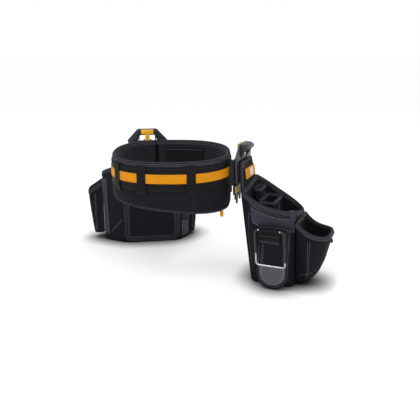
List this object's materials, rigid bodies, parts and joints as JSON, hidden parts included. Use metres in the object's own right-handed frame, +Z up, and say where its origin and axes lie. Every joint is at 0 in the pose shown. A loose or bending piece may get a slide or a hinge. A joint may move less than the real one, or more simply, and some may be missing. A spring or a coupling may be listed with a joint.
{
  "type": "tool belt",
  "caption": "Padded waist belt with a striped web strap, side-release buckle and two clip-on tool pouches, one with a hinged wire hammer loop.",
  "frame": {"origin": "on the floor, under the middle of the object's box", "axes": "+X towards the pouch with the hammer loop (longest extent), +Y towards the wearer's front and the buckle, +Z up (shortest extent)"},
  "size_m": [0.7494, 0.5988, 0.381],
  "materials": {
    "pad_cloth": "coarse woven polyester over foam",
    "lining_mesh": "open spacer mesh",
    "binding_tape": "folded binding tape with two rows of stitching",
    "webbing": "flat nylon webbing",
    "yellow_cloth": "ribbed orange-yellow tape",
    "bag_cloth": "heavy coated polyester weave",
    "grey_nylon": "coated grey nylon with a slight shine",
    "white_cloth": "plain woven label, left blank",
    "black_plastic": "moulded, lightly textured",
    "yellow_plastic": "moulded, lightly textured",
    "steel_wire": "bright plated steel wire"
  },
  "bodies": {
    "belt": {"back_pad": "pad_cloth", "back_pad_lining": "lining_mesh", "back_pad_top_binding": "binding_tape", "back_pad_bottom_binding": "binding_tape", "left_wing_pad": "pad_cloth", "left_wing_pad_lining": "lining_mesh", "left_wing_pad_top_binding": "binding_tape", "left_wing_pad_bottom_binding": "binding_tape", "right_wing_pad": "pad_cloth", "right_wing_pad_lining": "lining_mesh", "right_wing_pad_top_binding": "binding_tape", "right_wing_pad_bottom_binding": "binding_tape", "buckle_guard_patch": "lining_mesh", "pad_pull_tab": "yellow_cloth", "belt_webbing": "webbing", "belt_stripe": "yellow_cloth", "keeper_1": "webbing", "keeper_2": "webbing", "keeper_3": "webbing", "keeper_4": "webbing", "keeper_5": "webbing", "webbing_tail": "webbing", "tail_loop": "webbing", "buckle_plug": "black_plastic", "buckle_socket": "black_plastic", "left_hub_plate": "black_plastic", "left_hub_comb": "black_plastic", "left_hub_tab": "yellow_plastic", "left_hub_backing": "black_plastic", "right_hub_plate": "black_plastic", "right_hub_comb": "black_plastic", "right_hub_tab": "yellow_plastic", "right_hub_backing": "black_plastic"},
    "left_catch_lever": {"left_catch": "yellow_plastic"},
    "right_catch_lever": {"right_catch": "yellow_plastic"},
    "upper_prong": {"buckle_upper_prong": "black_plastic"},
    "lower_prong": {"buckle_lower_prong": "black_plastic"},
    "left_pouch": {"left_clip": "black_plastic", "left_panel_rivet_1": "black_plastic", "left_panel_rivet_2": "black_plastic", "left_back_panel": "bag_cloth", "left_main_pocket": "bag_cloth", "left_outer_flank_pocket": "bag_cloth", "left_inner_flank_pocket": "bag_cloth", "left_front_pocket": "bag_cloth"},
    "right_pouch": {"right_clip": "black_plastic", "right_panel_rivet_1": "black_plastic", "right_panel_rivet_2": "black_plastic", "right_back_panel": "bag_cloth", "right_main_pocket": "bag_cloth", "right_driver_pocket": "bag_cloth", "right_inner_pocket": "bag_cloth", "right_front_pocket": "bag_cloth", "hammer_panel": "bag_cloth", "hammer_patch": "grey_nylon", "hammer_sleeve": "grey_nylon", "right_tag": "yellow_cloth", "right_tag_patch": "white_cloth", "right_mouth_tab": "grey_nylon"},
    "hammer_wire": {"hammer_loop": "steel_wire"}
  },
  "joints": [
    {"name": "left_pouch_lift", "type": "slide", "parent": "belt", "child": "left_pouch", "axis": [0, 0, 1], "range_m": [0, 0.06]},
    {"name": "right_pouch_lift", "type": "slide", "parent": "belt", "child": "right_pouch", "axis": [0, 0, 1], "range_m": [0, 0.06]},
    {"name": "left_catch_press", "type": "hinge", "parent": "belt", "child": "left_catch_lever", "pos_m": [-0.16285, 0.0988, 0.345], "axis": [0.9877, 0.1564, 0], "range_deg": [0, 10], "stiffness_Nm_per_rad": 0.8},
    {"name": "right_catch_press", "type": "hinge", "parent": "belt", "child": "right_catch_lever", "pos_m": [0.11782, -0.1191, 0.345], "axis": [-0.3746, -0.9272, 0], "range_deg": [0, 10], "stiffness_Nm_per_rad": 0.8},
    {"name": "upper_prong_press", "type": "hinge", "parent": "belt", "child": "upper_prong", "pos_m": [-0.04852, 0.09611, 0.324], "axis": [0.1004, 0.9949, 0], "range_deg": [0, 6], "stiffness_Nm_per_rad": 0.6},
    {"name": "lower_prong_press", "type": "hinge", "parent": "belt", "child": "lower_prong", "pos_m": [-0.04852, 0.09611, 0.284], "axis": [-0.1004, -0.9949, 0], "range_deg": [0, 6], "stiffness_Nm_per_rad": 0.6},
    {"name": "hammer_loop_swing", "type": "hinge", "parent": "right_pouch", "child": "hammer_wire", "pos_m": [0.20144, -0.26182, 0.167], "axis": [-0.9272, 0.3746, 0], "range_deg": [-4, 75]}
  ]
}
